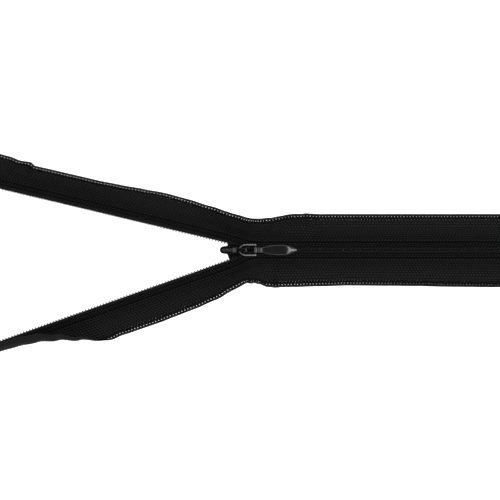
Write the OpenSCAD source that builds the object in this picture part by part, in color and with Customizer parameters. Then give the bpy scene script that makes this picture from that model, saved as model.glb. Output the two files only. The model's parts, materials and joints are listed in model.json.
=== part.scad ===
// Concealed coil zipper, half open. The front faces up and +X points at the bottom stop.
// The origin is where the two coils meet, on the surface that the zipper lies on.

/* [Tapes] */
// Width across both tapes where the chain is closed
closed_w = 25; // [22:0.5:32]
// Thickness of the front layer of each tape
tape_t = 0.4; // [0.3:0.05:0.45]
// Width of the flat seam allowance on each tape
margin_w = 5.3; // [4:0.1:6]
// Closed chain, from the meeting point to the bottom stop
closed_l = 100; // [60:5:150]
// Open chain, from the meeting point to each top stop
open_l = 100; // [60:5:150]
// Tape past the bottom stop
tail_l = 20; // [12:1:30]
// Tape past each top stop
top_l = 15; // [8:1:25]
// Angle of the right leg from the chain line
right_angle = 13.4; // [10:0.1:16]
// Angle of the left leg from the chain line
left_angle = 19.5; // [12:0.1:19.5]

/* [Coils] */
// Distance from one coil element to the next
pitch = 1.1; // [1:0.05:1.3]
// Thickness of each coil
coil_t = 0.9; // [0.8:0.05:0.9]
// How far a coil head reaches past the chain line
head_reach = 0.5; // [0.4:0.05:0.5]
// Width of an element's leg
leg_w = 0.4; // [0.35:0.01:0.4]
// Width of an element's head
head_w = 0.5; // [0.46:0.01:0.5]

/* [Slider] */
// Thickness of the slider's base plate
base_t = 0.7; // [0.6:0.05:0.7]
// Thickness of the slider's side walls
wall_t = 0.65; // [0.5:0.05:0.8]
// Angle of each side wall from the chain line
wall_angle = 19; // [19:0.1:21]
// Length of the slider ahead of the meeting point, to the end of its walls
mouth_l = 8; // [7:0.1:8.5]
// Width of the lug that holds the link
lug_w = 1.4; // [1.2:0.05:1.5]

/* [Pull] */
// Diameter of the link's wire
wire_d = 0.6; // [0.5:0.05:0.6]
// Width of the link between the middles of its arms
link_w = 3.7; // [3.4:0.1:4]
// Length of the link between the lug's eye and the tab's eye
link_l = 5.7; // [5.5:0.1:6.5]
// Width of the tab at its widest
tab_w = 3.6; // [3:0.1:4.5]
// Length of the tab past its eye
tab_l = 14.6; // [12:0.1:18]
// Thickness of the tab
tab_t = 1; // [0.8:0.05:1.1]

/* [Hidden] */
$fn = 48;

// Heights, from the surface up: base plate, binding, coil, web, slider lip, front layer
gap = 0.05;
web_t = 0.35;
lip_t = 0.35;
binding_t = 0.15;
coil_z = base_t + binding_t + 2 * gap;
web_z = coil_z + coil_t + gap;
lip_z = web_z + web_t + gap;
front_z = lip_z + lip_t + gap;
front_top = front_z + tape_t;

// Places across a half, from the chain line out
half_w = closed_w / 2;
margin_in = half_w - margin_w;
fold_r = (front_top - web_z) / 2;
fold_y = gap + fold_r;
heel_y = 2.1;
spine_w = 0.6;
web_w = 2.2;
wall_y = 2.5;
step_y = 4.6;
binding_y = 1.25;

// Places along the chain
seam_gap = 0.15;
stop_l = 2.4;
first_tooth = pitch / 2;
slider_coil_from = 2;
slider_coil_to = 10.5;

// Points of an arc about centre, from one angle to another
function arc(centre, r, from, to, steps = 12) = [
    for (i = [0 : steps])
        let (a = from + (to - from) * i / steps)
        centre + r * [cos(a), sin(a)]];

// Extrudes an outline given across the tape and up, from one place along it to another
module along(from, to) {
    translate([from, 0, 0]) rotate([90, 0, 90]) linear_extrude(to - from) children();
}

// Turns a right-hand half lying along -X by an angle, for a leg
module leg_turn(angle) {
    rotate([0, 0, -angle]) children();
}

// The left half is the right half mirrored across the chain line
module left() {
    mirror([0, 1, 0]) children();
}

// ---- Tapes: seam allowance, step over the coil, front layer, fold and web ----

module tape_section() {
    polygon(concat(
        [[half_w, 0], [half_w, tape_t], [margin_in, tape_t], [step_y, front_top]],
        arc([fold_y, (front_top + web_z) / 2], fold_r, 90, 270),
        [[web_w, web_z], [web_w, web_z + web_t]],
        arc([fold_y, (front_z + web_z + web_t) / 2], (front_z - web_z - web_t) / 2, 270, 90),
        [[step_y - tape_t / 3, front_z], [margin_in - tape_t / 3, 0]]));
}

module tape(from, to) {
    color([0.1, 0.1, 0.1]) along(from, to) tape_section();
}

// A leg's tape, ended square to the chain line where it meets the closed tape
module tape_leg(angle) {
    difference() {
        leg_turn(angle) tape(-open_l - top_l, half_w);
        translate([-seam_gap, -closed_w, -1]) cube([4 * closed_w, 3 * closed_w, front_top + 2]);
    }
}

// ---- Coils: a row of headed elements joined along their heels ----

// Outline of one element at x, from its leg round its head and back
function element(x) = [
    [x - leg_w / 2, heel_y - spine_w],
    [x - leg_w / 2, 0],
    [x - head_w / 2, -head_reach * 0.3],
    [x - head_w / 4, -head_reach],
    [x + head_w / 4, -head_reach],
    [x + head_w / 2, -head_reach * 0.3],
    [x + leg_w / 2, 0],
    [x + leg_w / 2, heel_y - spine_w]];

module coil(first, last) {
    teeth = floor((last - first) / pitch + 0.001);
    end = first + teeth * pitch;
    outline = concat(
        [[first - leg_w / 2, heel_y]],
        [for (i = [0 : teeth]) each element(first + i * pitch)],
        [[end + leg_w / 2, heel_y]]);
    color([0.07, 0.07, 0.08]) translate([0, 0, coil_z]) linear_extrude(coil_t) polygon(outline);
}

// ---- Binding: the thread that ties the coil to the web, one upright between elements ----

function upright(x) = [
    [x - binding_t, gap], [x - binding_t, coil_t + gap], [x + binding_t, coil_t + gap], [x + binding_t, gap]];

module binding(first, last) {
    ties = floor((last - first) / pitch + 0.001);
    end = first + ties * pitch;
    outline = concat(
        [[first - binding_t, -binding_t]],
        [for (i = [0 : ties]) each upright(first + i * pitch)],
        [[end + binding_t, -binding_t]]);
    color([0.16, 0.16, 0.17]) translate([0, binding_y, coil_z - gap]) rotate([90, 0, 0])
        linear_extrude(2 * binding_t) polygon(outline);
}

// ---- Stops ----

clip_t = 0.32;
clip_out = web_w + gap + clip_t;
clip_in = fold_y + 0.3;

// Section of a clip round one coil, its binding and its web, open towards the fold
clip_section = [
    [0, base_t], [clip_out - clip_t, base_t], [clip_out - clip_t, lip_z], [clip_in, lip_z],
    [clip_in, lip_z + clip_t], [clip_out, lip_z + clip_t], [clip_out, base_t - clip_t], [0, base_t - clip_t]];

module top_stop() {
    color([0.12, 0.12, 0.12]) along(-open_l - stop_l / 2, -open_l + stop_l / 2) polygon(clip_section);
}

// The bottom stop is one piece crimped round both coils
module bottom_stop() {
    inner = [for (point = clip_section) if (point[0] > 0) point];
    other = [for (i = [len(inner) - 1 : -1 : 0]) [-inner[i][0], inner[i][1]]];
    color([0.12, 0.12, 0.12]) along(closed_l - stop_l / 2, closed_l + stop_l / 2) polygon(concat(inner, other));
}

// ---- Slider ----

tail_x = 1;
base_front = -10.2;
nose_r = 1.3;
nose_x = -13;
corner_r = 1.2;
post_back = -4;
post_back_w = 0.5;
post_front_w = 3;
lip_w = 1.5;
eye_x = -6.13;
eye_z = 3.9;
eye_r = 0.62;
lug_top = 5;
lug_back = -3.4;
lug_r = 0.5;
crest_back = -8.4;
crest_top = 4;
crest_w = 0.7;
shoulder_x = -7.8;
shoulder_l = 0.9;
shoulder_w = 2.3;
mouth_spread = mouth_l * tan(wall_angle);

// One side of the base plate, from the tail to the rounded front corner
module base_half() {
    front_y = wall_y + wall_t + mouth_spread;
    polygon(concat(
        [[tail_x, 0]],
        arc([tail_x - corner_r, wall_y + wall_t - corner_r], corner_r, 0, 90),
        [[0, wall_y + wall_t]],
        arc([-mouth_l, front_y - corner_r], corner_r, 90, 160),
        [[base_front, nose_r + 0.6], [base_front - 0.3, nose_r], [base_front, 0]]));
}

// One side wall as a strip that starts a distance in from the channel's outer face
module wall_strip(inset) {
    polygon([
        [tail_x, wall_y - inset], [0, wall_y - inset], [-mouth_l, wall_y + mouth_spread - inset],
        [-mouth_l, wall_y + wall_t + mouth_spread], [0, wall_y + wall_t], [tail_x, wall_y + wall_t]]);
}

module slider_half() {
    linear_extrude(base_t) base_half();
    linear_extrude(lip_z + lip_t) wall_strip(0);
    translate([0, 0, lip_z]) linear_extrude(lip_t) wall_strip(lip_w);
}

// The post parts the coils and rises between the folds to carry the lug
module post() {
    linear_extrude(lip_z + lip_t) polygon([
        [post_back, post_back_w / 2], [base_front, post_front_w / 2], [nose_x + nose_r, nose_r],
        [nose_x + nose_r, -nose_r], [base_front, -post_front_w / 2], [post_back, -post_back_w / 2]]);
    translate([nose_x + nose_r, 0, 0]) cylinder(r = nose_r, h = lip_z + lip_t);
}

// An upright plate on the chain line, from an outline given along the chain and up
module plate_on_edge(width) {
    translate([0, width / 2, 0]) rotate([90, 0, 0]) linear_extrude(width) children();
}

// The lug carries the eye; a thin crest runs from it down to the nose, and shoulders stand out on both sides
module lug() {
    plate_on_edge(lug_w) polygon(concat(
        [[eye_x + 1, base_t], [crest_back, base_t], [crest_back, crest_top]],
        arc([eye_x - 0.9, lug_top - 1.2], 1.2, 125, 90, 6),
        arc([lug_back - lug_r, lug_top - lug_r], lug_r, 90, -30, 8),
        [[eye_x + 1, front_top]]));
    plate_on_edge(crest_w) polygon([
        [crest_back + 0.2, base_t], [nose_x + 1, base_t], [nose_x + 0.6, lip_z],
        [nose_x + 1.6, front_top + 0.3], [crest_back + 0.2, crest_top]]);
    translate([shoulder_x, -shoulder_w / 2, lip_z]) cube([shoulder_l, shoulder_w, front_top + 0.2 - lip_z]);
}

module slider_body() {
    color([0.05, 0.05, 0.06]) difference() {
        union() {
            slider_half();
            left() slider_half();
            post();
            lug();
        }
        translate([eye_x, lug_w, eye_z]) rotate([90, 0, 0]) cylinder(r = eye_r, h = 2 * lug_w);
    }
}

// ---- Link: an arched wire loop, closed by a thinner straight pin that the tab turns on ----

wire_r = wire_d / 2;
pin_r = 0.22;
arch_h = 2.5;
arch_r = (arch_h * arch_h + link_w * link_w / 4) / link_w;
apex_x = eye_x - 0.17;
arch_x = apex_x + arch_h;
bar_x = apex_x + 0.17 + link_l;

module link_side() {
    apex_angle = atan2(arch_r - link_w / 2, -arch_h);
    translate([arch_x, link_w / 2 - arch_r, 0]) rotate([0, 0, 90])
        rotate_extrude(angle = apex_angle - 90) translate([arch_r, 0]) circle(r = wire_r);
    translate([arch_x, link_w / 2, 0]) rotate([0, 90, 0]) cylinder(r = wire_r, h = bar_x - arch_x);
    translate([bar_x, link_w / 2, 0]) sphere(r = wire_r);
}

module pull_link() {
    color([0.08, 0.08, 0.09]) translate([0, 0, eye_z]) {
        link_side();
        left() link_side();
        translate([apex_x, 0, 0]) sphere(r = wire_r);
        translate([bar_x, link_w / 2, 0]) rotate([90, 0, 0]) cylinder(r = pin_r, h = link_w);
    }
}

// ---- Tab: an eye, a short neck and a long drop-shaped grip ----

neck_w = 2;
neck_l = 2.6;
barrel_r = 0.68;
eye_clear = 0.08;
tab_tip_r = 0.7;

// Half of the drop outline, measured from the eye
module tab_half() {
    polygon([
        [0, 0], [0, neck_w / 2], [neck_l, neck_w / 2], [neck_l + 1.2, tab_w * 0.42],
        [neck_l + 3.4, tab_w / 2], [tab_l * 0.66, tab_w / 2], [tab_l * 0.84, tab_w * 0.38],
        [tab_l - tab_tip_r * 0.7, tab_tip_r], [tab_l, tab_tip_r * 0.4], [tab_l, 0]]);
}

module pull_tab() {
    color([0.04, 0.04, 0.05]) translate([bar_x, 0, eye_z]) difference() {
        union() {
            translate([0, neck_w / 2, 0]) rotate([90, 0, 0]) cylinder(r = barrel_r, h = neck_w);
            translate([0, 0, -barrel_r]) linear_extrude(tab_t) {
                tab_half();
                mirror([0, 1]) tab_half();
            }
        }
        translate([0, neck_w, 0]) rotate([90, 0, 0]) cylinder(r = pin_r + eye_clear, h = 2 * neck_w);
    }
}

// ---- Pieces ----

closed_end = closed_l - stop_l / 2 - seam_gap;
tail_from = closed_l - stop_l / 2;
tail_end = closed_l + tail_l;
open_end = -open_l - top_l;
open_coil_from = -slider_coil_to - pitch;
tooth_row = floor(tail_from / pitch) + 1;

module right_tape_tail() { tape(tail_from, tail_end); }
module left_tape_tail() { left() tape(tail_from, tail_end); }
module right_coil_tail() { coil(first_tooth + tooth_row * pitch, tail_end - pitch); }
module left_coil_tail() { left() coil(first_tooth + (tooth_row + 0.5) * pitch, tail_end - pitch); }
module right_tape_closed() { tape(seam_gap, closed_end); }
module left_tape_closed() { left() tape(seam_gap, closed_end); }
module right_coil_closed() { coil(first_tooth, closed_end - pitch); }
module left_coil_closed() { left() coil(first_tooth + pitch / 2, closed_end - pitch / 2); }
module right_binding_closed() { binding(first_tooth + pitch / 2, closed_end - pitch); }
module left_binding_closed() { left() binding(first_tooth + pitch, closed_end - pitch); }
module right_tape_open() { tape_leg(right_angle); }
module left_tape_open() { left() tape_leg(left_angle); }
module right_coil_open() { leg_turn(right_angle) coil(open_end + pitch, open_coil_from); }
module left_coil_open() { left() leg_turn(left_angle) coil(open_end + pitch, open_coil_from); }
module right_binding_open() { leg_turn(right_angle) binding(open_end + pitch * 1.5, open_coil_from - pitch); }
module left_binding_open() { left() leg_turn(left_angle) binding(open_end + pitch * 1.5, open_coil_from - pitch); }
module right_top_stop() { leg_turn(right_angle) top_stop(); }
module left_top_stop() { left() leg_turn(left_angle) top_stop(); }
module right_coil_in_slider() { leg_turn(right_angle) coil(-slider_coil_to, -slider_coil_from); }
module left_coil_in_slider() { left() leg_turn(left_angle) coil(-slider_coil_to, -slider_coil_from); }

bottom_stop();
right_tape_tail();
left_tape_tail();
right_coil_tail();
left_coil_tail();
right_tape_closed();
left_tape_closed();
right_coil_closed();
left_coil_closed();
right_binding_closed();
left_binding_closed();
right_tape_open();
left_tape_open();
right_coil_open();
left_coil_open();
right_binding_open();
left_binding_open();
right_top_stop();
left_top_stop();
right_coil_in_slider();
left_coil_in_slider();
slider_body();
pull_link();
pull_tab();
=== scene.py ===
"""Concealed coil zipper, half open, face up: knitted tapes, coils, binding, stops, slider, link and tab."""

import json
import math

import bpy
import numpy as np
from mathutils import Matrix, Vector


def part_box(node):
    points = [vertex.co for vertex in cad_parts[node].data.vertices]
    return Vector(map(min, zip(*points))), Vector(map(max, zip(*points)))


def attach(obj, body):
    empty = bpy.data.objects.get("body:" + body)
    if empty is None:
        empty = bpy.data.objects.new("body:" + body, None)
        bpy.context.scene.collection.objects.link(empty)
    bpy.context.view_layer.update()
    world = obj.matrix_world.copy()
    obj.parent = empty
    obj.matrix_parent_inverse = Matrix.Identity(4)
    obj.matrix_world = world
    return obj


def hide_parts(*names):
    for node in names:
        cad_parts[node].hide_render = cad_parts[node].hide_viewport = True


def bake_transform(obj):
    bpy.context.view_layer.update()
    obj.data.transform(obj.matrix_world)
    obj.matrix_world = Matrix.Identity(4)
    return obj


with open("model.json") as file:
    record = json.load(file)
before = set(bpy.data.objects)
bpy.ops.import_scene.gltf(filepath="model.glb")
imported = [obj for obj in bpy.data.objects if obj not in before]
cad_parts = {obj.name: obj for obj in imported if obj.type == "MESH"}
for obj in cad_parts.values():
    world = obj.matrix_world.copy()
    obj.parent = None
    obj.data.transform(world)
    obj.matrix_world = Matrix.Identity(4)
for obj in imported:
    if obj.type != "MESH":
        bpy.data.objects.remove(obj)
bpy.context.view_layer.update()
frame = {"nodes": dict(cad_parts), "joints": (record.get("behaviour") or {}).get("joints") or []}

MM = 0.001
JOINTS = {joint["name"]: joint for joint in frame["joints"]}


def box_mm(node):
    """Lowest and highest corner of a CAD node, in millimetres."""
    low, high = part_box(node)
    return np.array(low) / MM, np.array(high) / MM


# ---- Driving sizes, from the frame, in millimetres ----

TAPE_HIGH = box_mm("right_tape_closed")[1]
COIL_LOW, COIL_HIGH = box_mm("right_coil_closed")
TAIL_END = box_mm("right_tape_tail")[1][0]
LEG_ANGLE = {
    "right": math.radians(max(map(abs, JOINTS["right_leg_turn"]["range_deg"]))),
    "left": math.radians(max(map(abs, JOINTS["left_leg_turn"]["range_deg"]))),
}
LEG_LENGTH = -box_mm("right_tape_open")[0][0] / math.cos(LEG_ANGLE["right"])
HALF_W = TAPE_HIGH[1]
FRONT_TOP = TAPE_HIGH[2]

# The knit: thickness of the sheet, size of a loop along and across, and grid cells to a loop
SHEET_T = 0.3
COURSE = 1.1
WALE = 0.95
LOOP_STAGGER = 0.46
ROWS_A_COURSE = 6
COLUMNS_A_WALE = 6

# The fold over the coil, how much wider it springs open on the legs, and the web behind it
FOLD_EDGE = 0.177
FOLD_R = 0.42
LEG_FOLD_R = {"right": 0.5, "left": 0.12}
FOLD_STEPS = 8
WEB_Y = 2.15
WEB_STEPS = 8
WEB_Z = FRONT_TOP - SHEET_T / 2 - 2 * FOLD_R
STEP_LOSS = 0.3
FRONT = HALF_W + STEP_LOSS

# The leg turns into the closed half over this stretch, and the pieces are cut at these places
BEND_FROM = -9.0
BEND_TO = 3.0
LEG_CUT = -30.0
TAIL_CUT = 45.0


# ---- Materials ----


def new_material(name):
    """A new material, with its nodes, its links and its main shader."""
    material = bpy.data.materials.new(name)
    material.use_nodes = True
    nodes = material.node_tree.nodes
    return material, nodes, material.node_tree.links, nodes["Principled BSDF"]


def math_node(nodes, links, operation, a, b=None, c=None):
    """A Math node fed by sockets or numbers. Returns its output."""
    node = nodes.new("ShaderNodeMath")
    node.operation = operation
    for socket, value in zip(node.inputs, (a, b, c)):
        if value is None:
            continue
        if isinstance(value, (int, float)):
            socket.default_value = value
        else:
            links.new(value, socket)
    return node.outputs[0]


def ramp_node(nodes, links, value, stops):
    """A colour ramp between two (place, colour) stops. Returns its output."""
    ramp = nodes.new("ShaderNodeValToRGB")
    for element, (at, colour) in zip(ramp.color_ramp.elements, stops):
        element.position = at
        element.color = (*colour, 1)
    links.new(value, ramp.inputs["Fac"])
    return ramp.outputs["Color"]


def noise_node(nodes, links, vector, scale, detail):
    """A noise texture over a vector. Returns its value."""
    noise = nodes.new("ShaderNodeTexNoise")
    noise.inputs["Scale"].default_value = scale
    noise.inputs["Detail"].default_value = detail
    links.new(vector, noise.inputs["Vector"])
    return noise.outputs["Fac"]


def bump_node(nodes, links, height, strength, distance):
    """Bumps of a height in metres. Returns the bumpy normal."""
    bump = nodes.new("ShaderNodeBump")
    bump.inputs["Strength"].default_value = strength
    bump.inputs["Distance"].default_value = distance
    links.new(height, bump.inputs["Height"])
    return bump.outputs["Normal"]


def knit_material():
    """Black warp-knitted polyester with painted shade: its colour follows the relief of its loops, darker in
    the pits, grooves and ply hollows and between the laps on the back, with plies and fluff in its yarn.
    """
    plies_a_course = 7.0
    plies_a_wale = 6.0
    ply_height = 0.12
    ply_painted_shade = 0.06
    fluff_tone = 0.7
    roughest = 0.85
    raised_gloss = -0.3
    painted_pit_shade = (0.27, (0.0001, 0.0001, 0.0001))
    raised = (0.95, (0.0178, 0.0176, 0.019))
    material, nodes, links, shader = new_material("knitted_tape")
    uv = nodes.new("ShaderNodeUVMap")
    uv.uv_map = "Knit"
    split = nodes.new("ShaderNodeSeparateXYZ")
    links.new(uv.outputs["UV"], split.inputs["Vector"])
    course, wale = split.outputs["X"], split.outputs["Y"]
    relief = nodes.new("ShaderNodeAttribute")
    relief.attribute_name = "relief"
    plies = math_node(nodes, links, "MULTIPLY", course, plies_a_course)
    plies = math_node(nodes, links, "MULTIPLY_ADD", wale, plies_a_wale, plies)
    plies = math_node(nodes, links, "SINE", math_node(nodes, links, "MULTIPLY", plies, 2 * math.pi))
    fluff = noise_node(nodes, links, uv.outputs["UV"], scale=5.0, detail=4.0)
    height = math_node(nodes, links, "MULTIPLY_ADD", plies, ply_height, fluff)
    # Painted shade: the colour runs from near black in the pits, grooves and ply hollows to the yarn's tone
    # on the raised loops.
    tone = math_node(nodes, links, "MULTIPLY_ADD", plies, ply_painted_shade, relief.outputs["Fac"])
    fluff_about_zero = math_node(nodes, links, "SUBTRACT", fluff, 0.5)
    tone = math_node(nodes, links, "MULTIPLY_ADD", fluff_about_zero, fluff_tone, tone)
    links.new(ramp_node(nodes, links, tone, [painted_pit_shade, raised]), shader.inputs["Base Color"])
    roughness = math_node(nodes, links, "MULTIPLY_ADD", relief.outputs["Fac"], raised_gloss, roughest)
    links.new(roughness, shader.inputs["Roughness"])
    shader.inputs["Specular IOR Level"].default_value = 0.03
    normal = bump_node(nodes, links, height, strength=0.7, distance=0.00008)
    links.new(normal, shader.inputs["Normal"])
    return material


def monofilament_material():
    """Smooth black monofilament with a faint drawn grain."""
    colour = (0.006, 0.006, 0.0065)
    darker = (0.3, [c * 0.7 for c in colour])
    lighter = (0.75, [c * 1.3 for c in colour])
    smoothest = 0.32
    grain_roughness = 0.15
    material, nodes, links, shader = new_material("coil_monofilament")
    place = nodes.new("ShaderNodeTexCoord").outputs["Object"]
    fine = noise_node(nodes, links, place, scale=2500.0, detail=2.0)
    broad = noise_node(nodes, links, place, scale=180.0, detail=2.0)
    links.new(ramp_node(nodes, links, broad, [darker, lighter]), shader.inputs["Base Color"])
    roughness = math_node(nodes, links, "MULTIPLY_ADD", fine, grain_roughness, smoothest)
    links.new(roughness, shader.inputs["Roughness"])
    shader.inputs["Specular IOR Level"].default_value = 0.5
    normal = bump_node(nodes, links, fine, strength=0.3, distance=0.00002)
    links.new(normal, shader.inputs["Normal"])
    return material


def thread_material():
    """Matt black thread with slanting plies, with painted shade in the hollows between them."""
    painted_hollow_shade = (0.2, (0.003, 0.003, 0.003))
    crown = (0.9, (0.012, 0.012, 0.013))
    material, nodes, links, shader = new_material("binding_thread")
    place = nodes.new("ShaderNodeTexCoord").outputs["Object"]
    wave = nodes.new("ShaderNodeTexWave")
    wave.bands_direction = "DIAGONAL"
    wave.inputs["Scale"].default_value = 1500.0
    wave.inputs["Distortion"].default_value = 2.0
    links.new(place, wave.inputs["Vector"])
    # Painted shade: darker in the hollows of the wave, lighter on its crowns.
    links.new(ramp_node(nodes, links, wave.outputs["Fac"], [painted_hollow_shade, crown]), shader.inputs["Base Color"])
    shader.inputs["Roughness"].default_value = 0.75
    shader.inputs["Specular IOR Level"].default_value = 0.2
    normal = bump_node(nodes, links, wave.outputs["Fac"], strength=0.6, distance=0.00005)
    links.new(normal, shader.inputs["Normal"])
    return material


def paint_material(name, colour, roughness, rubbing_and_highlight_gain, specular):
    """Gloss black paint on a casting: slight orange peel, and a greyer tone on sharp edges, partly rubbing
    of the paint and partly painted highlight.
    """
    rubbing_and_highlight = (0.014, 0.014, 0.0145)
    edge_from = 0.54
    edge_gain = 12.0 * rubbing_and_highlight_gain
    scuff_roughness = 0.06
    material, nodes, links, shader = new_material(name)
    place = nodes.new("ShaderNodeTexCoord").outputs["Object"]
    peel = noise_node(nodes, links, place, scale=900.0, detail=2.0)
    scuffs = noise_node(nodes, links, place, scale=2600.0, detail=5.0)
    geometry = nodes.new("ShaderNodeNewGeometry")
    # Painted highlight mixed with rubbing: sharp convex edges, found by pointiness, take a greyer colour
    # where the scuff noise allows.
    edge = math_node(nodes, links, "SUBTRACT", geometry.outputs["Pointiness"], edge_from)
    edge = math_node(nodes, links, "MULTIPLY", edge, edge_gain)
    rubbing_and_highlight_mask = math_node(nodes, links, "MULTIPLY", edge, scuffs)
    rubbing_and_highlight_mask = math_node(nodes, links, "MINIMUM", math_node(nodes, links, "MAXIMUM", rubbing_and_highlight_mask, 0.0), 1.0)
    tone = ramp_node(nodes, links, rubbing_and_highlight_mask, [(0.0, colour), (1.0, rubbing_and_highlight)])
    links.new(tone, shader.inputs["Base Color"])
    scuffed = math_node(nodes, links, "MULTIPLY_ADD", scuffs, scuff_roughness, roughness)
    links.new(scuffed, shader.inputs["Roughness"])
    shader.inputs["Specular IOR Level"].default_value = specular
    normal = bump_node(nodes, links, peel, strength=0.25, distance=0.00003)
    links.new(normal, shader.inputs["Normal"])
    return material


def nickel_material():
    """Black nickel plating on bent wire: dark metal with fine marks, and painted shade on the bar inside the
    tab.
    """
    bar_from_x = -0.00068
    bar_half_w = 0.00155
    dark = (0.0, (0.01, 0.01, 0.01))
    bright = (0.45, (0.16, 0.16, 0.163))
    smoothest = 0.2
    mark_roughness = 0.15
    material, nodes, links, shader = new_material("black_nickel")
    place = nodes.new("ShaderNodeTexCoord").outputs["Object"]
    marks = noise_node(nodes, links, place, scale=1800.0, detail=3.0)
    split = nodes.new("ShaderNodeSeparateXYZ")
    links.new(place, split.inputs["Vector"])
    # Painted shade: the bar between the arms, inside the tab's barrel, is coloured darker.
    at_bar = math_node(nodes, links, "GREATER_THAN", split.outputs["X"], bar_from_x)
    off_centre = math_node(nodes, links, "ABSOLUTE", split.outputs["Y"])
    between_arms = math_node(nodes, links, "LESS_THAN", off_centre, bar_half_w)
    painted_bar_shade = math_node(nodes, links, "MULTIPLY", at_bar, between_arms)
    tone = math_node(nodes, links, "MULTIPLY_ADD", painted_bar_shade, -1.0, marks)
    links.new(ramp_node(nodes, links, tone, [dark, bright]), shader.inputs["Base Color"])
    shader.inputs["Metallic"].default_value = 1.0
    roughness = math_node(nodes, links, "MULTIPLY_ADD", marks, mark_roughness, smoothest)
    links.new(roughness, shader.inputs["Roughness"])
    normal = bump_node(nodes, links, marks, strength=0.2, distance=0.00002)
    links.new(normal, shader.inputs["Normal"])
    return material


def floor_material():
    """Plain white surface with a glow of its own, so that it stays white in the picture."""
    material, _, _, shader = new_material("white_surface")
    shader.inputs["Base Color"].default_value = (0.9, 0.9, 0.9, 1)
    shader.inputs["Roughness"].default_value = 1.0
    shader.inputs["Specular IOR Level"].default_value = 0.0
    shader.inputs["Emission Color"].default_value = (1, 1, 1, 1)
    shader.inputs["Emission Strength"].default_value = 0.75
    return material


# ---- Mesh helpers ----


def make_mesh(name, points_mm, faces, material):
    """A smooth mesh object from points in millimetres."""
    mesh = bpy.data.meshes.new(name)
    mesh.from_pydata((np.asarray(points_mm) * MM).tolist(), [], np.asarray(faces).tolist())
    mesh.materials.append(material)
    mesh.polygons.foreach_set("use_smooth", np.full(len(mesh.polygons), True))
    mesh.update()
    piece = bpy.data.objects.new(name, mesh)
    bpy.context.scene.collection.objects.link(piece)
    return piece


def smooth_step(x):
    """0 up to x = 0, 1 from x = 1, and a smooth rise between."""
    x = np.clip(x, 0, 1)
    return x * x * (3 - 2 * x)


def through(x, stations):
    """Values at x of a curve through (place, value) stations, level at each station and past the ends."""
    at, values = np.array(stations, float).T
    index = np.clip(np.searchsorted(at, x, side="right") - 1, 0, len(at) - 2)
    part = smooth_step((x - at[index]) / (at[index + 1] - at[index]))
    return values[index] + (values[index + 1] - values[index]) * part


def turned(points, side):
    """Points of the straight, closed zipper, with the leg turned out over the bend. The left is mirrored."""
    x, y, z = points[..., 0], points[..., 1], points[..., 2]
    angle = LEG_ANGLE[side] * (1 - smooth_step((x - BEND_FROM) / (BEND_TO - BEND_FROM)))
    cos, sin = np.cos(angle), np.sin(angle)
    out = np.stack([x * cos + y * sin, y * cos - x * sin, z], axis=-1)
    if side == "left":
        out[..., 1] *= -1
    return out


# ---- Tapes ----

# Place along the zipper in millimetres, and the lift of the margin there in degrees. They follow the
# outline in the photograph, with the right leg's crease at -84.5 to -82.5.
RIGHT_LIFT = [(-115, 38), (-100, 49), (-96.5, 29), (-92, 32), (-88, 44), (-84.5, 38), (-82.5, 54),
              (-76, 53), (-60, 52), (-52, 47), (-44, 38), (-36, 27), (-28, 34), (-20, 46), (-12, 59),
              (-8, 60), (0, 54), (4, 52), (8, 43), (12, 40), (15, 38.5), (18.7, 23), (22.5, 2), (80, 1),
              (120, 4)]
LEFT_LIFT = [(-115, 0), (-68, 0), (-62, 30), (-56, 36), (-52, 29), (-40, 27), (-36, 31), (-28, 35),
             (-20, 44), (-12, 61), (-8, 66), (-4, 52), (0, 42), (4, 24), (8, 7), (12, 6), (20, 3), (32, 0),
             (48, 1), (56, 2), (68, 5), (84, 7), (120, 5)]
# The left leg rolls over on itself: whether it does (0 to 1), the width in millimetres that stays flat,
# and the degrees that the flat part tilts and the rest turns through
LEFT_ROLL = [(-115, 1), (-66, 1), (-52, 0), (120, 0)]
LEFT_FLAT = [(-115, 0), (-83, 0), (-76, 1.8), (-69, 5.5), (-62, 9.1), (-55, 11.4), (-48, 12.4), (120, 12.4)]
LEFT_TILT = [(-115, 33), (-97, 36), (-90, 29), (-83, 10), (-76, 0), (120, 0)]
LEFT_TURN = [(-115, 100), (-97, 120), (-90, 124), (-83, 148), (-76, 152), (-69, 144), (-62, 112),
             (-55, 45), (-50, 0), (120, 0)]
# The margin lifts over this stretch out from the fold, and its selvage stays nearly level
LIFT_FROM = 2.0
LIFT_RUN = 3.5
SELVAGE_W = 2.4
SELVAGE_LEVEL = 0.85
EDGE_RUN = 1.2
# A lifted margin takes this share of the step down from the coil away, once it lifts this far
MOST_EASED = 0.8
FULL_LIFT = math.radians(20)
# In the right half's closed part the step stays, except where the margin lifts most
CALM_FROM = 7
CALM_RUN = 8
CALM_EASED = 0.09
CALM_LIFT = math.radians(32)
CALM_CURVE = 3
# Slope of the step down, as a tangent angle in radians, found in a few passes from a first guess
FIRST_SLOPE = 0.5
SHALLOWEST = 0.1
STEEPEST = 1.2
SLOPE_PASSES = 6


def step_over(s):
    """Start and width of the front layer's step down beside the coil, further out beside the slider."""
    start, run = 2.3, 6.0
    slider_start, slider_run = 5.7, 3.4
    rises_from, rises_over = -16, 5
    falls_from, falls_over = 1, 6
    near = smooth_step((s - rises_from) / rises_over) * (1 - smooth_step((s - falls_from) / falls_over))
    return start + near * (slider_start - start), run + near * (slider_run - run)


def fold_radius(side, s):
    """Radius of the fold over the coil, to the middle of the sheet. It springs open away from the slider."""
    opens_from = -8
    opens_over = 14
    return FOLD_R + LEG_FOLD_R[side] * smooth_step((opens_from - s) / opens_over)


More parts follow.
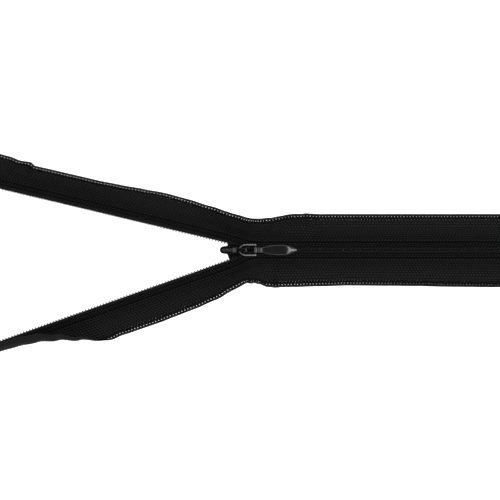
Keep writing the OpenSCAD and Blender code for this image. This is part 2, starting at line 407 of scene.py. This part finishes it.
def front_angle(side, s, length, drop):
    """Angle of the front layer at each place along it (rows) and out from the fold (columns), in radians."""
    start, run = step_over(s[:, None])
    end = start + run
    window = smooth_step((length - start) / EDGE_RUN)
    window = window * (1 - smooth_step((length - end + EDGE_RUN) / EDGE_RUN))
    spacing = length[:, 1] - length[:, 0]
    slope = np.full(s.shape, FIRST_SLOPE)
    for _ in range(SLOPE_PASSES):
        fallen = np.sin(slope[:, None] * window).sum(axis=1) * spacing
        slope = np.clip(slope * drop / fallen, SHALLOWEST, STEEPEST)
    lift = np.radians(through(s, RIGHT_LIFT if side == "right" else LEFT_LIFT))[:, None]
    eased = MOST_EASED * np.clip(lift / FULL_LIFT, 0, 1)
    calm = smooth_step((s[:, None] - CALM_FROM) / CALM_RUN) * (side == "right")
    calm_eased = CALM_EASED + (MOST_EASED - CALM_EASED) * np.clip(lift / CALM_LIFT, 0, 1) ** CALM_CURVE
    eased += calm * (calm_eased - eased)
    down = -slope[:, None] * window * (1 - eased)
    level = 1 - SELVAGE_LEVEL * smooth_step((length - length[:, -1:] + SELVAGE_W) / EDGE_RUN)
    angle = down + lift * smooth_step((length - LIFT_FROM) / LIFT_RUN) * level * (1 - calm * window)
    if side == "left":
        tilt_run = 1.5
        roll = through(s, LEFT_ROLL)[:, None]
        flat = through(s, LEFT_FLAT)[:, None]
        tilt = np.radians(through(s, LEFT_TILT))[:, None]
        turn = np.radians(through(s, LEFT_TURN))[:, None]
        share = np.clip((length - flat) / np.maximum(length[:, -1:] - flat, 1.0), 0, 1)
        angle = angle * (1 - roll) + tilt * smooth_step(length / tilt_run) * roll + turn * share * roll
    return angle


def section(side, s):
    """Across and up of the sheet's middle, from the selvage in over the fold to the web.

    Each place s along the zipper has a row. The third result is the flat distance of each column out from
    the fold's top, negative past it.
    """
    clearance = 0.02
    radius = fold_radius(side, s)[:, None]
    share = np.linspace(0, 1, int(round(FRONT / (WALE / COLUMNS_A_WALE))) + 1)
    length = share * (FRONT - math.pi * (radius - FOLD_R))
    top = WEB_Z + 2 * radius
    angle = front_angle(side, s, length, top[:, 0] - SHEET_T / 2)
    middle = (angle[:, 1:] + angle[:, :-1]) / 2
    step = np.diff(length, axis=1)
    zero = np.zeros((len(s), 1))
    fold_y = FOLD_EDGE + radius
    y = fold_y + np.hstack([zero, np.cumsum(np.cos(middle) * step, axis=1)])
    z = top + np.hstack([zero, np.cumsum(np.sin(middle) * step, axis=1)])
    z = np.maximum(z, SHEET_T / 2 + clearance)
    turn = np.linspace(0, np.pi, FOLD_STEPS + 1)[None, 1:]
    web = np.linspace(0, 1, WEB_STEPS + 1)[None, 1:]
    web_y = fold_y + web * (WEB_Y - fold_y)
    y = np.hstack([y[:, ::-1], fold_y - radius * np.sin(turn), web_y])
    z = np.hstack([z[:, ::-1], WEB_Z + radius + radius * np.cos(turn), WEB_Z + 0 * web_y])
    fold_out = -turn[0] * FOLD_R
    web_out = -math.pi * FOLD_R - web[0] * (WEB_Y - FOLD_EDGE - FOLD_R)
    return y, z, np.concatenate([share[::-1] * FRONT, fold_out, web_out])


def knit_relief(course, wale, depth_in):
    """Height of the knit's front, 0 to about 1: loops of two leaning legs, and two grooves by the coil."""
    leg_foot = 0.1
    leg_lean = 0.2
    leg_half_w = 0.2
    leg_end_height = 0.25
    grooves_at = (2.0, 0.75)
    groove_half_w = 0.16
    groove_depth = 0.75
    faint_groove = 0.6
    bulge_lead = 0.06
    bulge_power = 0.7
    shaded_beside_coil = 0.86
    further_out = 0.24
    paler_from = 3
    paler_over = 6
    rise = course - np.floor(course)
    across = np.abs(wale - np.floor(wale) - 0.5)
    off = np.abs(across - (leg_foot + leg_lean * rise))
    leg = np.sqrt(np.clip(1 - (off / leg_half_w) ** 2, 0, 1))
    bulge = np.sin(np.pi * np.clip(rise + bulge_lead, 0, 1)) ** bulge_power
    loops = leg * (leg_end_height + (1 - leg_end_height) * bulge)
    outer, inner = (np.exp(-(((depth_in - at) / groove_half_w) ** 2)) for at in grooves_at)
    grooves = outer + faint_groove * inner
    # Painted shade beside the coil: the relief, and with it the colour, is lower next to the coil and rises
    # further out.
    paler = shaded_beside_coil + further_out * smooth_step((depth_in - paler_from) / paler_over)
    return loops * (1 - groove_depth * grooves) * paler


# The selvage's open loops, as cells of one course: first row and row after, first column and column after
LARGE_HOLE = (2, 4, 5, 7)
SMALL_HOLE = (5, 6, 12, 13)
HOLE_WIDTH = 0.75
HOLE_CLOSING = {"right": 0.1, "left": 0.4}
CLOSING_FROM = 20
CLOSING_RUN = 40


def hole_cells(rows, columns):
    """Cells left out for the open loops of the selvage."""
    row = np.arange(rows)[:, None]
    column = np.arange(columns)[None, :]
    cells = np.zeros((rows, columns), bool)
    for top, end, first, last in (LARGE_HOLE, SMALL_HOLE):
        cells |= ((row - top) % ROWS_A_COURSE < end - top) & (column >= first) & (column < last)
    return cells


def hole_shift(side, s, columns):
    """How far each grid point moves, in cells along and across, to round the holes off.

    The holes close up along the closed part, the left ones more.
    """
    rows = len(s)
    closing = HOLE_CLOSING[side] * smooth_step((s - CLOSING_FROM) / CLOSING_RUN)
    wide = (HOLE_WIDTH - closing)[:, None]
    along = np.zeros((rows, columns))
    across = np.zeros((rows, columns))
    row = np.arange(rows)[:, None]
    column = np.arange(columns)[None, :]
    for top, end, first, last in (LARGE_HOLE, SMALL_HOLE):
        half_l, half_w = (end - top) / 2, (last - first) / 2
        u = ((row - top) % ROWS_A_COURSE - half_l) / half_l
        v = (column - first - half_w) / half_w
        u, v = np.broadcast_arrays(u, v)
        inside = (np.abs(u) <= 1) & (np.abs(v) <= 1)
        along[inside] = (u * (wide * np.sqrt(np.clip(1 - v * v / 2, 0, 1)) - 1) * half_l)[inside]
        across[inside] = (v * (wide * np.sqrt(np.clip(1 - u * u / 2, 0, 1)) - 1) * half_w)[inside]
    return along, across


def sheet_solid(front, back, keep):
    """Points and quads of a closed sheet between two grids, and the numbers of the grid points used.

    keep says which cells it has.
    """
    rows, columns = front.shape[:2]
    index = np.arange(rows * columns).reshape(rows, columns)
    corners = np.stack([index[:-1, :-1], index[1:, :-1], index[1:, 1:], index[:-1, 1:]], axis=-1)
    top = corners[keep]
    count = rows * columns
    edges = np.concatenate([top[:, [k, (k + 1) % 4]] for k in range(4)])
    keys = np.sort(edges, axis=1)
    _, inverse, uses = np.unique(keys[:, 0] * count + keys[:, 1], return_inverse=True, return_counts=True)
    rim = edges[uses[inverse] == 1]
    walls = np.stack([rim[:, 1], rim[:, 0], rim[:, 0] + count, rim[:, 1] + count], axis=1)
    under = top[:, ::-1] + count
    points = np.concatenate([front.reshape(-1, 3), back.reshape(-1, 3)])
    faces = np.concatenate([top, under, walls])
    used, faces = np.unique(faces, return_inverse=True)
    return points[used], faces.reshape(-1, 4), used


# The selvage, by distance in from its edge: where the knit gives way to it, and the bead along it
SELVAGE_FROM = 2.3
SELVAGE_BLEND = 0.4
BEAD_AT = 0.32
BEAD_HALF_W = 0.36
SELVAGE_THINNER = 0.5
SELVAGE_HEIGHT = 0.25
BEAD_HEIGHT = 0.45
SELVAGE_KNIT = 0.25
# The selvage is set forward along the chain by this much, fading out over this width
EDGE_SLANT = 0.4
EDGE_SLANT_W = 1.5
# The slanting laps on the back, and the shares of the thickness on each side of the sheet's middle
LAP_LENGTH = 0.98
LAP_SLANT = 0.3
FRONT_SHARE = 0.3
BACK_SHARE = 0.35
LOOP_HEIGHT = 0.17
LAP_HEIGHT = 0.1
# Shade of the back: the lowest, and what a lap adds
BACK_SHADE = 0.4
LAP_SHADE = 0.35
# Nearer the top of the fold than this, and over it, the knit fades to a plain height
PLAIN_FROM = 0.2
PLAIN_RUN = 0.3
PLAIN_HEIGHT = 0.5
# Slow waves that keep the courses from running dead straight across: height in courses, turn in radians
# for each millimetre along and for each wale across, and start
WANDER = [(0.12, 0.31, 0.8, 0.0), (0.1, 0.117, -1.9, 1.3)]


def tape_grids(side):
    """The whole tape of one side as front and back grids of points, with the knit's places and relief."""
    row_step = COURSE / ROWS_A_COURSE
    rows = int(round((TAIL_END + LEG_LENGTH) / row_step)) + 1
    s = np.linspace(-LEG_LENGTH, TAIL_END, rows)
    y, z, out = section(side, s)
    from_edge = FRONT - out
    slant = EDGE_SLANT * (1 - smooth_step(from_edge / EDGE_SLANT_W))
    x = s[:, None] + slant[None, :]
    points = turned(np.stack([x, y, z], axis=-1), side)
    along = np.gradient(points, axis=0)
    across = np.gradient(points, axis=1)
    normal = np.cross(across, along)
    normal /= np.linalg.norm(normal, axis=2, keepdims=True)
    if side == "left":
        normal = -normal
    shift_along, shift_across = hole_shift(side, s, points.shape[1])
    points = points + along * shift_along[..., None] + across * shift_across[..., None]
    wale = from_edge[None, :] / WALE + np.zeros((rows, 1))
    wander = sum(height * np.sin(along_turn * s[:, None] + across_turn * wale + start)
                 for height, along_turn, across_turn, start in WANDER)
    course = s[:, None] / COURSE + LOOP_STAGGER * np.floor(wale) + wander
    relief = knit_relief(course, wale, np.maximum(out, 0)[None, :])
    edge = smooth_step((SELVAGE_FROM - from_edge) / SELVAGE_BLEND)[None, :]
    bead = np.clip(1 - ((from_edge - BEAD_AT) / BEAD_HALF_W) ** 2, 0, 1)[None, :]
    relief = relief * (1 - edge) + (SELVAGE_HEIGHT + BEAD_HEIGHT * bead + SELVAGE_KNIT * relief) * edge
    laps = 0.5 + 0.5 * np.cos(2 * np.pi * (s[:, None] / LAP_LENGTH + from_edge[None, :] * LAP_SLANT))
    laps = laps * (1 - edge) + PLAIN_HEIGHT * edge
    fold = smooth_step((PLAIN_FROM - out) / PLAIN_RUN)[None, :]
    relief = relief * (1 - fold) + PLAIN_HEIGHT * fold
    thin = 1 - SELVAGE_THINNER * edge
    front = points + normal * ((SHEET_T * FRONT_SHARE + LOOP_HEIGHT * relief) * thin)[..., None]
    back = points - normal * ((SHEET_T * BACK_SHARE + LAP_HEIGHT * laps) * thin)[..., None]
    return s, wale, course, relief, laps, front, back


def tape_piece(name, side, grids, first, last, material):
    """One stretch of a tape, from row first to row last, its cut ends kept sharp."""
    _, wale, course, relief, laps, front, back = (grid[first : last + 1] for grid in grids)
    rows, columns = front.shape[:2]
    cells = hole_cells(len(grids[0]) - 1, columns - 1)[first:last]
    points, faces, used = sheet_solid(front, back, ~cells)
    if side == "left":
        faces = faces[:, ::-1]
    piece = make_mesh(name, points, faces, material)
    mesh = piece.data
    shade = np.concatenate([relief.ravel(), BACK_SHADE + LAP_SHADE * laps.ravel()])[used]
    mesh.attributes.new("relief", "FLOAT", "POINT").data.foreach_set("value", shade.astype(np.float32))
    places = np.stack([np.tile(course.ravel(), 2), np.tile(wale.ravel(), 2)], axis=1)[used]
    corner = np.zeros(len(mesh.loops), np.int32)
    mesh.loops.foreach_get("vertex_index", corner)
    uv = mesh.uv_layers.new(name="Knit")
    uv.data.foreach_set("uv", places[corner].astype(np.float32).ravel())
    cut = np.isin(used % (rows * columns) // columns, (0, rows - 1))
    ends = np.zeros(len(mesh.edges) * 2, np.int32)
    mesh.edges.foreach_get("vertices", ends)
    mesh.attributes.new("sharp_edge", "BOOLEAN", "EDGE").data.foreach_set(
        "value", cut[ends.reshape(-1, 2)].all(axis=1))
    return piece


def follow(piece, side, part):
    """Ride a piece of one side on its leg, or keep it fixed with its place baked into its mesh: part is leg,
    mid or end.
    """
    if part == "leg":
        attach(piece, f"{side}_leg")
    elif part == "mid":
        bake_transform(piece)
    else:
        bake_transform(piece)


def make_tape(side, material):
    """The tape of one side in its three stretches."""
    grids = tape_grids(side)
    s = grids[0]
    leg_row, tail_row = (int(np.searchsorted(s, cut)) for cut in (LEG_CUT, TAIL_CUT))
    stretches = {"leg": (0, leg_row, f"{side}_tape_open"), "mid": (leg_row, tail_row, f"{side}_tape_closed"),
                 "end": (tail_row, len(s) - 1, f"{side}_tape_tail")}
    for part, (first, last, node) in stretches.items():
        piece = tape_piece(f"{side}_tape_{part}", side, grids, first, last, material)
        follow(piece, side, part)
        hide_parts(node)


# ---- Coils and binding ----


def tube(path, radius, sides, widen=None):
    """Points and quads of a closed tube along a path in millimetres, with an even number of sides.

    widen scales it along the chain at each point.
    """
    tangent = np.gradient(path, axis=0)
    tangent /= np.linalg.norm(tangent, axis=1, keepdims=True)
    lead = np.array([1.0, 0.0, 0.0])
    first = lead - (tangent @ lead)[:, None] * tangent
    first /= np.maximum(np.linalg.norm(first, axis=1, keepdims=True), 1e-6)
    second = np.cross(tangent, first)
    turn = np.linspace(0, 2 * np.pi, sides, endpoint=False)
    scale = np.ones(len(path)) if widen is None else widen
    ring = (np.cos(turn)[None, :, None] * (first * scale[:, None])[:, None, :]
            + np.sin(turn)[None, :, None] * second[:, None, :])
    points = (path[:, None, :] + radius * ring).reshape(-1, 3)
    row = np.arange(len(path) - 1)[:, None] * sides
    side = np.arange(sides)[None, :]
    after = (side + 1) % sides
    quads = np.stack([row + side, row + after, row + sides + after, row + sides + side], axis=-1)
    last = (len(path) - 1) * sides
    caps = [[0, k + 2, k + 1, k] for k in range(1, sides - 1, 2)]
    ends = np.array(caps + [[last + k for k in cap[::-1]] for cap in caps])
    return points, np.concatenate([quads.reshape(-1, 4), ends])


# The coil's wire, and the thread that binds it in two rows
WIRE_R = 0.21
WIRE_SIDES = 8
THREAD_R = 0.08
THREAD_SIDES = 6
THREAD_ROWS_Y = (0.75, 1.45)
# The head of an element: the bend round it, in radians, and how much wider the wire is pressed there
HEAD_BEND = 0.3
HEAD_ANGLES = (0.6, 1.1, 1.57, 2.04, 2.54)
HEAD_WIDTHS = [1.15, 1.25, 1.3, 1.25, 1.15]
LEG_FROM_HEEL = 0.25
LEG_TO_HEAD = 0.35
HEEL_IN = 0.03
HEEL_ROUND = 0.08
HEAD_Y = COIL_LOW[1] + WIRE_R
HEEL_Y = COIL_HIGH[1] - WIRE_R
LOWER_Z = COIL_LOW[2] + WIRE_R
UPPER_Z = COIL_HIGH[2] - WIRE_R
FIRST_TOOTH = {"right": COURSE / 2, "left": COURSE}


def coil_element(at):
    """Middle line of one element: lower leg out to the head, round it, upper leg back, heel to the next."""
    lift = (UPPER_Z - LOWER_Z) / 2
    mid_z = (UPPER_Z + LOWER_Z) / 2
    legs = np.linspace(HEEL_Y - LEG_FROM_HEEL, HEAD_Y + LEG_TO_HEAD, 4)
    lower = [(at, y, LOWER_Z) for y in legs]
    head = [(at, HEAD_Y + HEAD_BEND - HEAD_BEND * math.sin(turn), mid_z - lift * math.cos(turn))
            for turn in HEAD_ANGLES]
    upper = [(at, y, UPPER_Z) for y in legs[::-1]]
    heel = [(at + COURSE * 0.25, HEEL_Y - HEEL_IN, UPPER_Z - HEEL_ROUND), (at + COURSE * 0.5, HEEL_Y, mid_z),
            (at + COURSE * 0.75, HEEL_Y - HEEL_IN, LOWER_Z + HEEL_ROUND)]
    wide = [1.0] * len(lower) + HEAD_WIDTHS + [1.0] * len(upper + heel)
    return lower + head + upper + heel, wide


def coil_path(side, start, end):
    """Middle line of the elements between two places along the chain, and the wire's width at each point."""
    first = math.ceil((start - FIRST_TOOTH[side]) / COURSE)
    last = math.floor((end - FIRST_TOOTH[side]) / COURSE)
    path, wide = [], []
    for i in range(first, last + 1):
        points, scale = coil_element(FIRST_TOOTH[side] + i * COURSE)
        path += points
        wide += scale
    return np.array(path), np.array(wide)


def binding_paths(side, start, end):
    """Two rows of thread that pass under each element's legs and up to the web between them."""
    points_an_element = 8
    below_coil = 0.03
    peak_power = 3
    s = np.arange(start, end, COURSE / points_an_element)
    phase = 2 * np.pi * (s - FIRST_TOOTH[side]) / COURSE
    low = COIL_LOW[2] - below_coil
    high = COIL_HIGH[2]
    z = low + (high - low) * (0.5 - 0.5 * np.cos(phase)) ** peak_power
    return [np.stack([s, y + THREAD_R * np.sin(phase / 2), z], axis=1) for y in THREAD_ROWS_Y]


def make_coil(side, coil_look, thread_look):
    """The coil of one side and the thread that binds it, in the same stretches as its tape."""
    cuts = {"leg": (-LEG_LENGTH + COURSE, LEG_CUT), "mid": (LEG_CUT, TAIL_CUT),
            "end": (TAIL_CUT, TAIL_END - COURSE)}
    nodes = {"leg": [f"{side}_coil_open"], "mid": [f"{side}_coil_closed", f"{side}_coil_in_slider"],
             "end": [f"{side}_coil_tail"]}
    threads = {"leg": [f"{side}_binding_open"], "mid": [f"{side}_binding_closed"], "end": []}
    for part, (start, end) in cuts.items():
        path, wide = coil_path(side, start, end)
        points, faces = tube(turned(path, side), WIRE_R, WIRE_SIDES, wide)
        coil = make_mesh(f"{side}_coil_{part}_wire", points, faces, coil_look)
        follow(coil, side, part)
        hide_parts(*nodes[part])
        (inner, inner_faces), (outer, outer_faces) = (
            tube(turned(path, side), THREAD_R, THREAD_SIDES) for path in binding_paths(side, start, end))
        thread = make_mesh(f"{side}_binding_{part}_thread", np.concatenate([inner, outer]),
                           np.concatenate([inner_faces, outer_faces + len(inner)]), thread_look)
        follow(thread, side, part)
        if threads[part]:
            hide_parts(*threads[part])


# ---- Pull tab ----

TAB_LOW, TAB_HIGH = box_mm("pull_tab")
EYE = np.array(JOINTS["tab_swing"]["pos_m"]) / MM
TAB_W = (TAB_HIGH[1] - TAB_LOW[1]) / 2
TAB_L = TAB_HIGH[0] - EYE[0]
# Half width, top and underside along the tab, from its eye to its tip
TAB_HALF_W = [(0.0, 0.9), (0.8, 0.98), (2.1, 0.94), (2.8, 1.0), (3.6, 1.25), (5.0, 1.58), (6.6, 1.78),
              (9.6, TAB_W), (11.4, 1.62), (13.0, 1.12), (14.0, 0.6), (TAB_L, 0.1)]
TAB_TOP = [(0.0, 0.3), (0.7, 0.3), (0.95, 0.0), (1.45, 0.0), (1.7, 0.27), (1.95, 0.24), (2.25, 0.06),
           (3.0, 0.1), (8.0, 0.46), (TAB_L, 0.46)]
TAB_UNDER = [(0.0, -0.3), (2.0, -0.34), (3.4, -0.48), (11.0, -0.5), (14.0, -0.54), (TAB_L, -0.52)]
# Sections of the loft: the first place, the last place and how many, finer towards the tip
TAB_STATIONS = [(0.35, 4.0, 38), (4.1, 12.5, 48), (12.6, 14.2, 14), (14.24, TAB_L - 0.02, 8)]
TAB_MID_Z = -0.18
# The chamfer round the face: in from the rim and down from the face, as shares of its width and height
CHAMFER_W = 0.34
CHAMFER_H = 0.16
CHAMFER = [(0.0, 1.0), (0.15, 0.55), (0.45, 0.2), (0.9, 0.05), (1.4, 0.0)]
# Towards the tip the chamfer widens into a dome, and the face falls away
TIP_DOME = (1.0, 0.75, 0.45, 0.17, 0.0)
DOME_FROM = 10.5
DOME_RUN = 2.5
TIP_FROM = 9.5
TIP_DROP = 0.88
TIP_CURVE = 2.2


def tab_mesh(material):
    """A drop-shaped grip with a flat face inside a chamfered rim, lofted along its length from its neck."""
    widest_rim, deepest_rim = 0.62, 0.4
    stations = np.concatenate([np.linspace(*stretch) for stretch in TAB_STATIONS])
    half_w, top, under = (through(stations, table) for table in (TAB_HALF_W, TAB_TOP, TAB_UNDER))
    top -= TIP_DROP * np.clip((stations - TIP_FROM) / (TAB_L - TIP_FROM), 0, 1) ** TIP_CURVE
    tip = smooth_step((stations - DOME_FROM) / DOME_RUN)
    rim = np.minimum(CHAMFER_W * (1 + 2 * tip), half_w * widest_rim)
    depth = np.minimum(CHAMFER_H * (1 + tip), (top - under) * deepest_rim)
    right_top = [(half_w - rim * a, top - depth * (b * (1 - tip) + dome * tip))
                 for (a, b), dome in zip(CHAMFER, TIP_DOME)]
    right_under = [(half_w - rim * a, under + depth * b) for a, b in CHAMFER]
    centre = np.zeros_like(half_w)
    ring = (right_top + [(centre, top)] + [(-w, z) for w, z in right_top[::-1]]
            + [(-w, z) for w, z in right_under] + [(centre, under)] + right_under[::-1])
    count = len(ring)
    x = stations + EYE[0]
    points = np.stack([np.stack([x, y, z + EYE[2] + TAB_MID_Z], axis=-1) for y, z in ring], axis=1)
    rows = len(stations)
    row = np.arange(rows - 1)[:, None] * count
    column = np.arange(count)[None, :]
    after = (column + 1) % count
    quads = np.stack([row + column, row + after, row + count + after, row + count + column], axis=-1)
    caps = [list(range(count - 1, -1, -1)), [(rows - 1) * count + k for k in range(count)]]
    mesh = bpy.data.meshes.new("tab_grip")
    mesh.from_pydata((points.reshape(-1, 3) * MM).tolist(), [], quads.reshape(-1, 4).tolist() + caps)
    mesh.materials.append(material)
    piece = bpy.data.objects.new("tab_grip", mesh)
    bpy.context.scene.collection.objects.link(piece)
    return piece


def revolve(profile, segments, centre, material, name):
    """A ring turned about an axis along Y through centre, from a closed profile of (radius, y) points."""
    turn = np.linspace(0, 2 * np.pi, segments, endpoint=False)
    radius, y = np.array(profile).T
    points = np.stack([centre[0] + np.outer(np.cos(turn), radius), np.tile(y, (segments, 1)) + centre[1],
                       centre[2] + np.outer(np.sin(turn), radius)], axis=-1).reshape(-1, 3)
    count = len(profile)
    faces = []
    for i in range(segments):
        j = (i + 1) % segments
        for k in range(count):
            m = (k + 1) % count
            faces.append([i * count + k, i * count + m, j * count + m, j * count + k])
    return make_mesh(name, points, faces, material)


def rounded_tube_profile(inner, outer, half_w, corner):
    """Section of a short tube with rounded outer edges, as (radius, y)."""
    steps = 4
    points = [(inner, -half_w), (inner, half_w)]
    for y_sign in (1, -1):
        for k in range(steps + 1):
            a = math.pi / 2 * (k / steps if y_sign > 0 else 1 - k / steps)
            radius = outer - corner + corner * math.sin(a)
            points.append((radius, y_sign * (half_w - corner + corner * math.cos(a))))
    return points


def apply_modifiers(piece):
    """Turn what the modifiers make into the piece's own mesh."""
    depsgraph = bpy.context.evaluated_depsgraph_get()
    mesh = bpy.data.meshes.new_from_object(piece.evaluated_get(depsgraph), depsgraph=depsgraph)
    piece.modifiers.clear()
    piece.data = mesh


def combine(piece, operation, tool):
    """Join a second piece to the first or cut it away, and remove it."""
    change = piece.modifiers.new(operation.lower(), "BOOLEAN")
    change.operation = operation
    change.solver = "EXACT"
    change.object = tool
    apply_modifiers(piece)
    bpy.data.objects.remove(tool)


def finish_piece(piece, material, body, node):
    """Smooth shading, one material, and the piece's place in the frame."""
    piece.data.polygons.foreach_set("use_smooth", [True] * len(piece.data.polygons))
    piece.data.materials.clear()
    piece.data.materials.append(material)
    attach(piece, body)
    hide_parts(node)


BARREL_R = 0.68
BARREL_HALF_W = 1.0
BARREL_CORNER = 0.14
PIN_HOLE_R = 0.3
PIN_HOLE_HALF_L = 1.2
ROUND_SEGMENTS = 48


def make_tab(material):
    """The grip joined to the barrel that turns on the link's bar, with the bar's hole through both."""
    grip = tab_mesh(material)
    centre = (EYE[0], 0.0, EYE[2])
    barrel = rounded_tube_profile(PIN_HOLE_R, BARREL_R, BARREL_HALF_W, BARREL_CORNER)
    pin = [(0.0, -PIN_HOLE_HALF_L), (PIN_HOLE_R, -PIN_HOLE_HALF_L), (PIN_HOLE_R, PIN_HOLE_HALF_L),
           (0.0, PIN_HOLE_HALF_L)]
    combine(grip, "UNION", revolve(barrel, ROUND_SEGMENTS, centre, material, "tab_eye"))
    combine(grip, "DIFFERENCE", revolve(pin, ROUND_SEGMENTS, centre, material, "hole"))
    finish_piece(grip, material, "tab", "pull_tab")


# ---- Metal pieces kept from the frame, with their edges rounded ----

# The slider's crest: its stretch along the chain, half its width, and where and how far its sides lean in
CREST_X = (-12.3, -8.5)
CREST_HALF_W = 0.42
CREST_FOOT_Z = 2.2
CREST_RISE = 0.9
CREST_DRAFT = 0.55


def taper_crest(piece):
    """Lean the sides of the slider's crest in toward its top, as the draft of a casting does."""
    count = len(piece.data.vertices)
    points = np.empty(count * 3)
    piece.data.vertices.foreach_get("co", points)
    place = np.array(piece.matrix_world)
    points = points.reshape(count, 3) @ place[:3, :3].T + place[:3, 3]
    x, y, z = (points / MM).T
    on_crest = (x > CREST_X[0]) & (x < CREST_X[1]) & (np.abs(y) < CREST_HALF_W) & (z > CREST_FOOT_Z)
    draft = 1 - CREST_DRAFT * np.clip((z - CREST_FOOT_Z) / CREST_RISE, 0, 1)
    points[:, 1] = np.where(on_crest, y * draft, y) * MM
    points = (points - place[:3, 3]) @ np.linalg.inv(place[:3, :3]).T
    piece.data.vertices.foreach_set("co", points.ravel())
    piece.data.update()


def round_edges(node, body, material, grain_mm, passes, shape=None):
    """A copy of a CAD piece as an even, smoothed skin, as a casting or a crimped part has."""
    source = frame["nodes"][node]
    mesh = source.data.copy()
    piece = bpy.data.objects.new(f"{node}_cast", mesh)
    piece.matrix_world = source.matrix_world.copy()
    bpy.context.scene.collection.objects.link(piece)
    remesh = piece.modifiers.new("even", "REMESH")
    remesh.mode = "VOXEL"
    remesh.voxel_size = grain_mm * MM
    smooth = piece.modifiers.new("round", "SMOOTH")
    smooth.factor = 0.5
    smooth.iterations = passes
    apply_modifiers(piece)
    if shape:
        shape(piece)
    finish_piece(piece, material, body, node)


# ---- Light, floor and camera ----


def area_light(name, place, size, power):
    """A softbox that faces the frame's origin."""
    data = bpy.data.lights.new(name, "AREA")
    data.shape = "RECTANGLE"
    data.size, data.size_y = size
    data.energy = power
    light = bpy.data.objects.new(name, data)
    light.location = place
    light.rotation_euler = (Vector((0, 0, 0)) - Vector(place)).to_track_quat("-Z", "Y").to_euler()
    bpy.context.scene.collection.objects.link(light)


def make_studio():
    """White surface, four softboxes and a bright tent, whose dark top keeps the glossy faces black."""
    mesh = bpy.data.meshes.new("surface")
    far = 3.0
    tent_wall = (0.8, (1, 1, 1))
    tent_top = (0.97, (0.15, 0.15, 0.15))
    mesh.from_pydata([(-far, -far, 0), (far, -far, 0), (far, far, 0), (-far, far, 0)], [], [(0, 1, 2, 3)])
    mesh.materials.append(floor_material())
    surface = bpy.data.objects.new("surface", mesh)
    bpy.context.scene.collection.objects.link(surface)
    world = bpy.data.worlds.new("studio")
    world.use_nodes = True
    nodes, links = world.node_tree.nodes, world.node_tree.links
    place = nodes.new("ShaderNodeTexCoord").outputs["Generated"]
    split = nodes.new("ShaderNodeSeparateXYZ")
    links.new(place, split.inputs["Vector"])
    tent = ramp_node(nodes, links, split.outputs["Z"], [tent_wall, tent_top])
    links.new(tent, nodes["Background"].inputs["Color"])
    nodes["Background"].inputs["Strength"].default_value = 0.6
    bpy.context.scene.world = world
    area_light("left_softbox", place=(-0.6, 0.0, 0.8), size=(0.5, 0.6), power=2.5)
    area_light("right_softbox", place=(0.55, 0.0, 0.85), size=(0.5, 0.6), power=6.5)
    area_light("near_softbox", place=(0.0, -0.7, 0.7), size=(0.8, 0.4), power=2.8)
    area_light("far_softbox", place=(0.0, 0.7, 0.7), size=(0.8, 0.4), power=3.8)
    bpy.context.scene.view_settings.view_transform = "Standard"


def make_camera():
    """Straight down on the slider, framing the closed chain to the right and the open legs to the left."""
    view_w = 0.176
    height = 1.0
    slider_side = -2.4 * MM
    data = bpy.data.cameras.new("camera")
    data.sensor_width = 36.0
    data.lens = data.sensor_width * height / view_w
    data.clip_end = 10.0
    camera = bpy.data.objects.new("camera", data)
    camera.location = (slider_side, 0, height)
    bpy.context.scene.collection.objects.link(camera)
    bpy.context.scene.camera = camera


make_camera()
make_studio()
knit = knit_material()
coil_look = monofilament_material()
thread_look = thread_material()
stop_look = paint_material("stop_paint", (0.008, 0.008, 0.008), roughness=0.3, rubbing_and_highlight_gain=0.5, specular=0.5)
slider_look = paint_material("slider_paint", (0.002, 0.002, 0.0022), roughness=0.1, rubbing_and_highlight_gain=0.25, specular=0.33)
link_look = nickel_material()
tab_look = paint_material("tab_paint", (0.005, 0.005, 0.0054), roughness=0.13, rubbing_and_highlight_gain=0.25, specular=0.5)

for side in ("right", "left"):
    make_tape(side, knit)
    make_coil(side, coil_look, thread_look)
make_tab(tab_look)
round_edges("bottom_stop", "bottom_end", stop_look, grain_mm=0.07, passes=4)
round_edges("right_top_stop", "right_leg", stop_look, grain_mm=0.07, passes=4)
round_edges("left_top_stop", "left_leg", stop_look, grain_mm=0.07, passes=4)
round_edges("slider_body", "slider", slider_look, grain_mm=0.08, passes=2, shape=taper_crest)
round_edges("pull_link", "link", link_look, grain_mm=0.06, passes=3)
